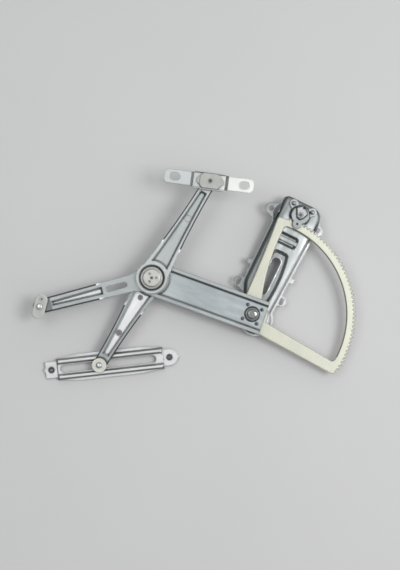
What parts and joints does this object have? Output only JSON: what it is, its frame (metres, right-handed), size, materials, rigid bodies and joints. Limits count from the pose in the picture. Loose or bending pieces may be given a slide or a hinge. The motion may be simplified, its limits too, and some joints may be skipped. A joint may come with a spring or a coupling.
{
  "type": "window regulator",
  "caption": "Crossed-arm door window regulator: toothed sector and main arm on a pressed base plate, crossing arm, guide rail and glass bracket, driven by a pinion.",
  "frame": {"origin": "drive axis at the door panel's plane, where the crank spindle leaves the brake drum", "axes": "+Z from the panel towards the glass, along every hinge axis; +X from the main arm's tip towards the sector's teeth; +Y towards the glass bracket"},
  "size_m": [0.477, 0.3125, 0.0519],
  "materials": {
    "zinc_plate": "zinc plated, satin",
    "zinc_arm": "blue zinc plated, satin",
    "zinc_rail": "zinc plated, satin",
    "zinc_bright": "zinc plated, bright",
    "zinc_bracket": "zinc plated, pale",
    "dark_steel": "oiled steel",
    "sector_finish": "pale yellow chromate over zinc, matte",
    "cream_nylon": "moulded nylon",
    "milky_nylon": "moulded nylon, milky",
    "grey_nylon": "moulded nylon, warm grey"
  },
  "bodies": {
    "base": {"base_plate": "zinc_plate", "pinion_bridge": "zinc_bright", "bridge_rivet_left": "zinc_bright", "bridge_rivet_right": "zinc_bright", "drive_bush": "dark_steel", "brake_drum": "zinc_plate", "pivot_stud": "zinc_bright", "pivot_washer": "zinc_plate"},
    "pinion": {"drive_pinion": "dark_steel"},
    "lift": {"sector_gear": "sector_finish", "main_arm": "zinc_arm", "arm_rivet_1": "dark_steel", "arm_rivet_2": "dark_steel", "arm_rivet_3": "dark_steel", "arm_rivet_4": "dark_steel", "shoe_pin": "zinc_bright"},
    "aux": {"aux_arm_upper": "zinc_arm", "aux_arm_lower": "zinc_arm", "hub_bush": "dark_steel", "hub_rivet": "zinc_bright", "rail_cap": "cream_nylon", "rail_pin": "zinc_bright", "bracket_pin": "zinc_bright"},
    "shoe": {"main_arm_shoe": "milky_nylon"},
    "slider": {"rail_slider": "cream_nylon"},
    "rail": {"guide_rail": "zinc_rail", "rail_nut_left": "dark_steel", "rail_nut_right": "dark_steel"},
    "bracket": {"glass_bracket": "zinc_bracket", "pivot_block": "grey_nylon"}
  },
  "joints": [
    {"name": "lift_turn", "type": "hinge", "parent": "base", "child": "lift", "pos_m": [-0.07102, -0.14561, 0.015], "axis": [0, 0, 1], "range_deg": [0, 76]},
    {"name": "pinion_turn", "type": "hinge", "parent": "base", "child": "pinion", "pos_m": [0, 0, 0.015], "axis": [0, 0, 1], "range_deg": [-1155.2, 0]},
    {"name": "cross_arm_turn", "type": "hinge", "parent": "lift", "child": "aux", "pos_m": [-0.21883, -0.0921, 0.015], "axis": [0, 0, 1], "range_deg": [-152, 0]},
    {"name": "shoe_turn", "type": "hinge", "parent": "lift", "child": "shoe", "pos_m": [-0.38329, -0.13432, 0.015], "axis": [0, 0, 1], "range_deg": [-76, 0]},
    {"name": "slider_turn", "type": "hinge", "parent": "aux", "child": "slider", "pos_m": [-0.29721, -0.22151, 0.015], "axis": [0, 0, 1], "range_deg": [0, 76]},
    {"name": "rail_slide", "type": "slide", "parent": "slider", "child": "rail", "axis": [0.994, 0.1097, 0], "range_m": [-0.071, 0.046]},
    {"name": "bracket_turn", "type": "hinge", "parent": "aux", "child": "bracket", "pos_m": [-0.13295, 0.04915, 0.015], "axis": [0, 0, 1], "range_deg": [0, 76]}
  ],
  "couplings": [
    {"joint": "pinion_turn", "follows": "lift_turn", "ratio": -15.2},
    {"joint": "cross_arm_turn", "follows": "lift_turn", "ratio": -2},
    {"joint": "shoe_turn", "follows": "lift_turn", "ratio": -1},
    {"joint": "slider_turn", "follows": "lift_turn", "ratio": 1},
    {"joint": "bracket_turn", "follows": "lift_turn", "ratio": 1}
  ]
}
